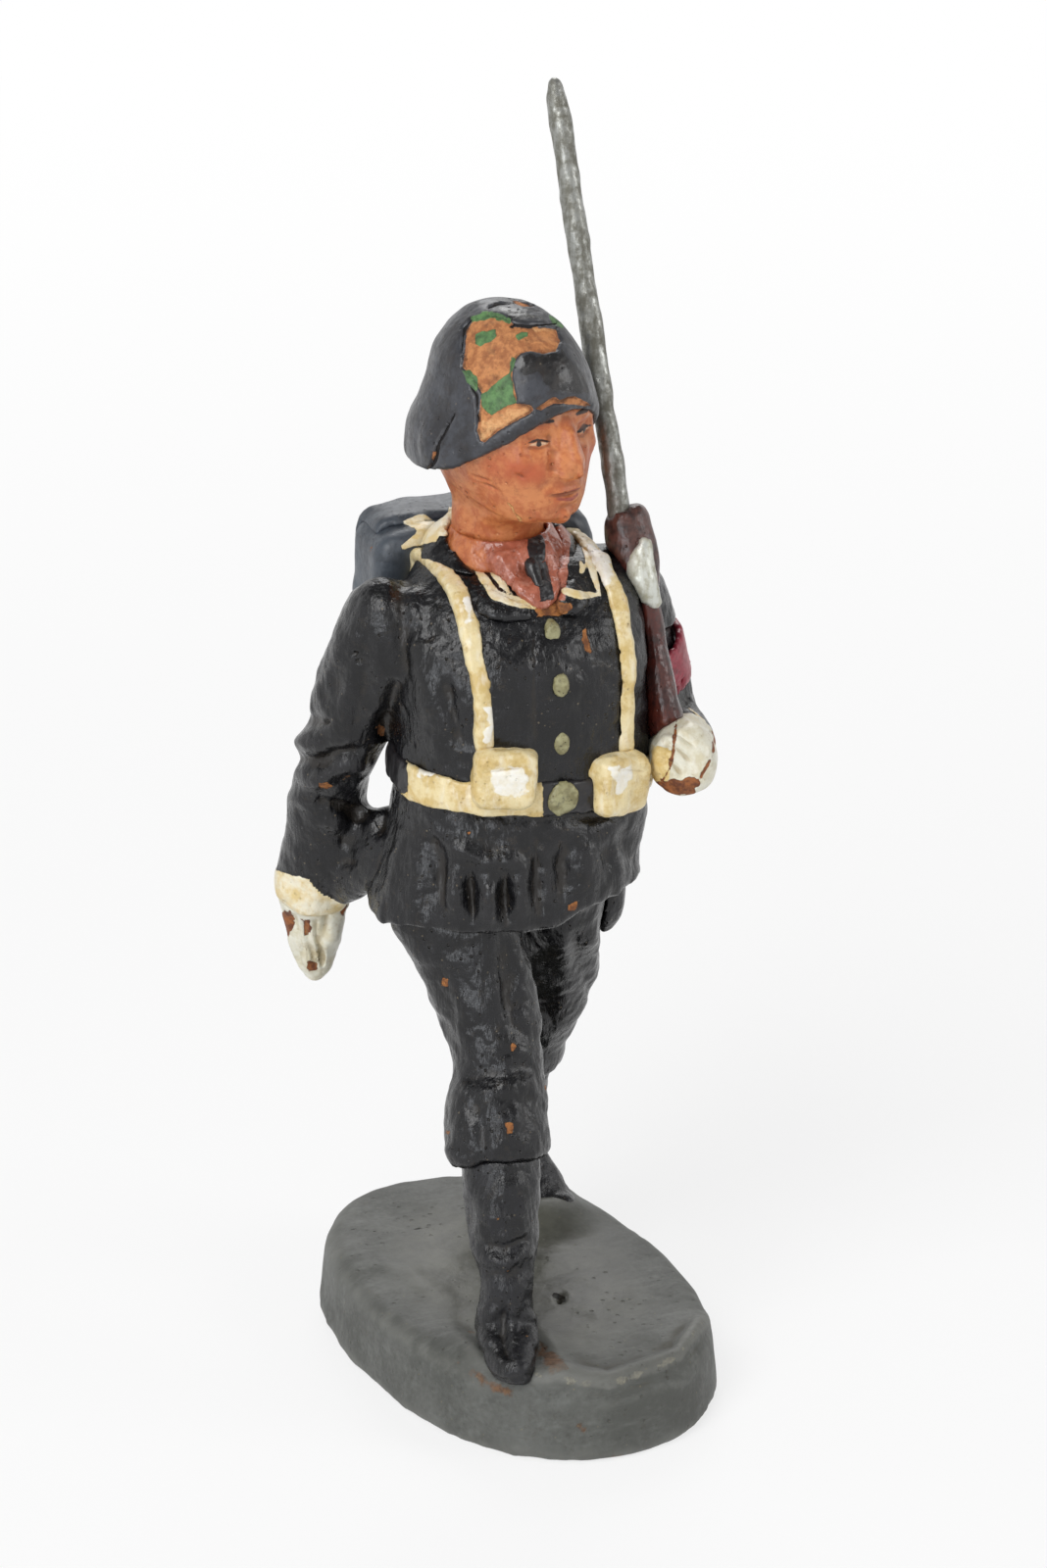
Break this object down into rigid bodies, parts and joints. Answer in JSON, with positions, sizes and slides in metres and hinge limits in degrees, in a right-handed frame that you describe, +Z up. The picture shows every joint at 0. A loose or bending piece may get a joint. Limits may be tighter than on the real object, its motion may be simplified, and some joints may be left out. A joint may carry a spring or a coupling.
{
  "type": "toy soldier figure",
  "caption": "Antique painted composition toy soldier marching with shouldered rifle and pack on an oval base, moulded over a wire armature, with a head that turns on its neck peg.",
  "frame": {"origin": "centre of the base's flat underside", "axes": "+Z up, -Y the way the figure marches, +X to the figure's own left"},
  "size_m": [0.0285, 0.0364, 0.0882],
  "materials": {
    "base_paint": "matte, brushed paint",
    "black_enamel": "gloss enamel, crazed and chipped",
    "boot_enamel": "gloss enamel",
    "helmet_paint": "satin paint, chipped to the composition",
    "cream_enamel": "gloss enamel, worn",
    "glove_enamel": "gloss enamel, chipped",
    "flesh_paint": "satin paint",
    "shirt_paint": "gloss enamel",
    "gilt_paint": "dull gilt paint",
    "pack_paint": "satin paint",
    "stock_enamel": "gloss enamel",
    "armband_paint": "gloss enamel",
    "rod_metal": "worn",
    "lock_paint": "silver paint",
    "wire_iron": "dull"
  },
  "bodies": {
    "figure": {"base": "base_paint", "boot_right": "boot_enamel", "boot_left": "boot_enamel", "breeches_right": "black_enamel", "breeches_left": "black_enamel", "tunic": "black_enamel", "collar": "black_enamel", "shirt_front": "shirt_paint", "necktie": "boot_enamel", "sleeve_right": "black_enamel", "sleeve_left": "black_enamel", "glove_right": "glove_enamel", "glove_left": "glove_enamel", "armband": "armband_paint", "belt": "cream_enamel", "belt_buckle": "gilt_paint", "pouch_right": "cream_enamel", "pouch_left": "cream_enamel", "shoulder_strap_right": "cream_enamel", "shoulder_strap_left": "cream_enamel", "tunic_buttons": "gilt_paint", "backpack": "pack_paint", "pack_flap": "pack_paint", "pack_straps": "boot_enamel", "hip_pouch": "black_enamel", "rifle_stock": "stock_enamel", "rifle_lock": "lock_paint", "rifle_barrel": "rod_metal", "leg_wire_right": "wire_iron", "leg_wire_left": "wire_iron", "arm_wire": "wire_iron", "neck_peg": "wire_iron"},
    "head": {"head": "flesh_paint", "helmet": "helmet_paint"}
  },
  "joints": [
    {"name": "head_turn", "type": "hinge", "parent": "figure", "child": "head", "pos_m": [-0.0007, 0.001, 0.0589], "axis": [0, 0, 1], "range_deg": [-20, 20]}
  ]
}
